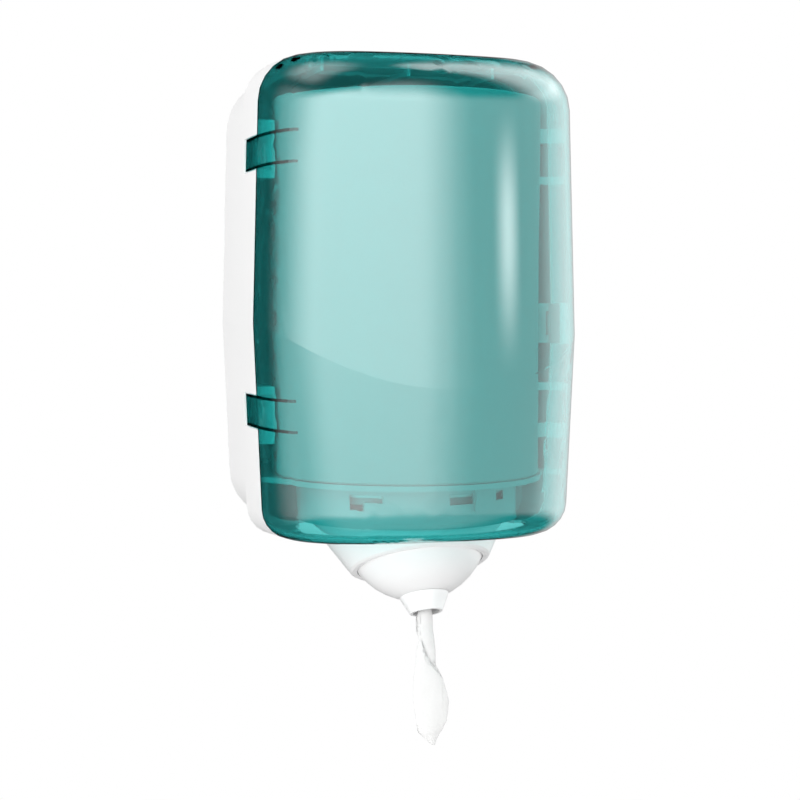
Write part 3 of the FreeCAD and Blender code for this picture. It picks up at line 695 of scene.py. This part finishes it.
for vert in shape.verts:
    x, y = vert.co.x, vert.co.y - ROLL_CENTRE[1]
    r, turn = math.hypot(x, y), math.atan2(y, x)
    round_x, round_y = math.cos(turn), math.sin(turn)
    if r > ROLL_R - EDGE / 2:
        lap = ((turn - LAP_AT) / math.tau) % 1.0
        r -= LAP_H * lap + RIPPLE_H * soft_noise(round_x * 2.0, round_y * 2.0, vert.co.z * 14.0)
    sunk = SUNK_H * soft_noise(r * 260.0, round_x, round_y)
    vert.co.x, vert.co.y = r * round_x, r * round_y + ROLL_CENTRE[1]
    if abs(vert.co.z - middle) > near_end:
        vert.co.z += -sunk if vert.co.z > middle else sunk
for face in shape.faces:
    face.smooth = True
for edge in shape.edges:
    edge.smooth = len(edge.link_faces) == 2 and edge.calc_face_angle() < ROLL_SHARP
wound_roll = new_piece("wound_roll", shape, wound_paper_painted_shade)
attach(wound_roll, "housing")
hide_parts("paper_roll")
print("wound roll", len(wound_roll.data.vertices), "points")

# %% [markdown]
# Below the roll the paper is one sheet as wide as the roll is long, gathered into a strand that runs
# through the nozzle and hangs out of it. It could be faked by a solid blob, but then its end has no
# layers. Here a flat grid is rolled up: each row of the grid becomes a spiral of several turns, squeezed
# into the section that the paper has at that height. First come the strand's path through the tilted
# nozzle and the tail's sections, which follow the outline of the paper in the photograph.

# %% Path and sections of the gathered sheet
MM = 1000.0
TILT = math.radians(24.8)
STRAND_LEN = 0.0802
STRAND_R = 0.0028
TAIL_LEN = 0.0684
TAIL_TURN = math.radians(-17.5)
STRAND_ROWS = 12
TAIL_ROWS = 64
strand_top = Vector((0.0, -0.078, -0.1093))
strand_dir = Vector((0.0, -math.sin(TILT), -math.cos(TILT)))
# How far down, half width, sideways, bow in front and bow behind, in millimetres
tail_shape = [
    (0.00, 3.7, -0.6, 2.7, 2.7),
    (0.04, 4.4, -1.0, 2.7, 2.5),
    (0.13, 4.5, -0.9, 2.6, 2.0),
    (0.20, 4.1, 0.2, 2.8, 1.6),
    (0.28, 5.1, -0.2, 2.6, 1.2),
    (0.39, 5.3, -0.3, 2.4, 0.6),
    (0.50, 7.9, 1.2, 2.4, -0.3),
    (0.66, 9.6, 2.6, 2.4, -0.6),
    (0.82, 8.2, 2.9, 2.2, -0.6),
    (0.90, 6.2, 1.4, 2.0, -0.5),
    (0.95, 3.3, 2.2, 1.4, 0.1),
    (1.00, 0.9, 3.6, 0.9, 0.5),
]


def between(table, share):
    """The table's row at this share of the length, on a straight line between its neighbours."""
    for low, high in zip(table, table[1:]):
        if share <= high[0]:
            t = max(0.0, (share - low[0]) / (high[0] - low[0]))
            return [a + (b - a) * t for a, b in zip(low[1:], high[1:])]
    return list(table[-1][1:])


def section(row):
    """How far down the tail this row of the grid is, its place, and its four measures in millimetres."""
    if row < STRAND_ROWS:
        share = -1.0 + row / STRAND_ROWS
        place = strand_top + strand_dir * (STRAND_LEN * row / STRAND_ROWS)
        r = STRAND_R * MM
        return share, place, (r, 0.0, r, r)
    share = (row - STRAND_ROWS) / TAIL_ROWS
    place = strand_top + strand_dir * STRAND_LEN + Vector((0.0, 0.0, -share * TAIL_LEN))
    return share, place, between(tail_shape, share)


print("strand", STRAND_LEN, "tail", TAIL_LEN)

# %% [markdown]
# Where the outermost turn ends, its free edge makes the slanting fold of the photograph. Dents beside it
# bring out the overlap: to its left in the upper part of the tail, and to its right further down.

# %% The slanting fold
# Where the free edge lies on the front: how far down, and how far sideways in millimetres
free_edge = [
    (0.0, -3.1),
    (0.18, -2.95),
    (0.236, -2.2),
    (0.30, -0.65),
    (0.365, 1.05),
    (0.41, 3.2),
    (0.49, 8.0),
    (1.0, 9.0),
]
UPPER_DENT = (-0.03, 0.19)
UPPER_DENT_H = 1.8
LOWER_DENT = (0.17, 0.50)
LOWER_DENT_H = 2.6
LOWER_DENT_REACH = 2.4


def swell(share, start, end):
    """0 at the start and end of a stretch, 1 in its middle."""
    return math.sin(math.pi * (share - start) / (end - start))


def dent(share, x, edge_x):
    """How far the front is pressed in beside the free edge, in millimetres."""
    if share < 0.0 or share > LOWER_DENT[1]:
        return 0.0
    if share < UPPER_DENT[1]:
        return UPPER_DENT_H * swell(share, *UPPER_DENT) if x < edge_x else 0.0
    if x <= edge_x:
        return 0.0
    return LOWER_DENT_H * swell(share, *LOWER_DENT) * math.exp((edge_x - x) / LOWER_DENT_REACH)


print("free edge from", free_edge[0][1], "to", free_edge[-1][1], "mm")

# %% [markdown]
# Now the grid is rolled up. A column's share of the width gives its turn in the spiral and how far in it
# lies, and a little noise crumples the tail. Over a few rows at the nozzle's mouth the section turns from
# the tilted strand to the hanging tail, whose front faces the camera. At the very end the outermost layer
# is lifted to a slanting tip.

# %% Roll the grid up
TURNS = 12
COLUMNS = 36 * TURNS
ROWS = STRAND_ROWS + TAIL_ROWS
SPIRAL_IN = 0.86
LENS_POWER = 1.3
CRUMPLE_H = 0.28
CRUMPLE_GROWTH = 6.0
BEND_ROWS = 4
TIP_FROM = 0.8
TIP_LIFT = 0.0045
TIP_SLANT = 0.15
OUTERMOST = 0.9
strand_wide = Vector((1.0, 0.0, 0.0))
strand_deep = Vector((0.0, -math.cos(TILT), math.sin(TILT)))
tail_wide = Vector((math.cos(TAIL_TURN), math.sin(TAIL_TURN), 0.0))
tail_deep = Vector((math.sin(TAIL_TURN), -math.cos(TAIL_TURN), 0.0))
shape = bmesh.new()
bmesh.ops.create_grid(shape, x_segments=COLUMNS, y_segments=ROWS, size=0.5)
for vert in shape.verts:
    column, row = (vert.co.x + 0.5), round((vert.co.y + 0.5) * ROWS)
    share, place, (half, sideways, front, behind) = section(row)
    edge_x = between(free_edge, share)[0] if share >= 0.0 else -half
    start = math.acos(max(-1.0, min(1.0, (edge_x - sideways) / half)))
    turn = start + math.tau * TURNS * column
    inner = 1.0 - SPIRAL_IN * column
    bow, thick = (front - behind) / 2, (front + behind) / 2
    across = inner * half * math.cos(turn)
    lens = math.copysign(abs(math.sin(turn)) ** LENS_POWER, math.sin(turn))
    depth = bow * (1.0 - (across / half) ** 2) + inner * thick * lens
    x = sideways + across
    if math.sin(turn) > 0.0:
        depth -= inner * dent(share, x, edge_x)
    crumple = noise.noise(Vector((x * 0.32, place.z * 130.0, depth * 0.25 + column * 3.0)))
    depth += CRUMPLE_H * crumple * min(1.0, max(0.0, share * CRUMPLE_GROWTH)) * inner
    lean = min(1.0, max(0.0, (row - STRAND_ROWS + BEND_ROWS / 2) / BEND_ROWS))
    wide = strand_wide.lerp(tail_wide, lean).normalized()
    deep = strand_deep.lerp(tail_deep, lean).normalized()
    vert.co = place + wide * (x / MM) + deep * (depth / MM)
    if share > TIP_FROM and inner > OUTERMOST and math.sin(turn) > 0.0:
        slant = max(0.0, TIP_SLANT - math.cos(turn))
        vert.co.z += TIP_LIFT * (share - TIP_FROM) / (1.0 - TIP_FROM) * slant
for face in shape.faces:
    face.smooth = True
gathered_sheet = new_piece("gathered_sheet", shape, paper)
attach(gathered_sheet, "nozzle")
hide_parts("paper_tail")
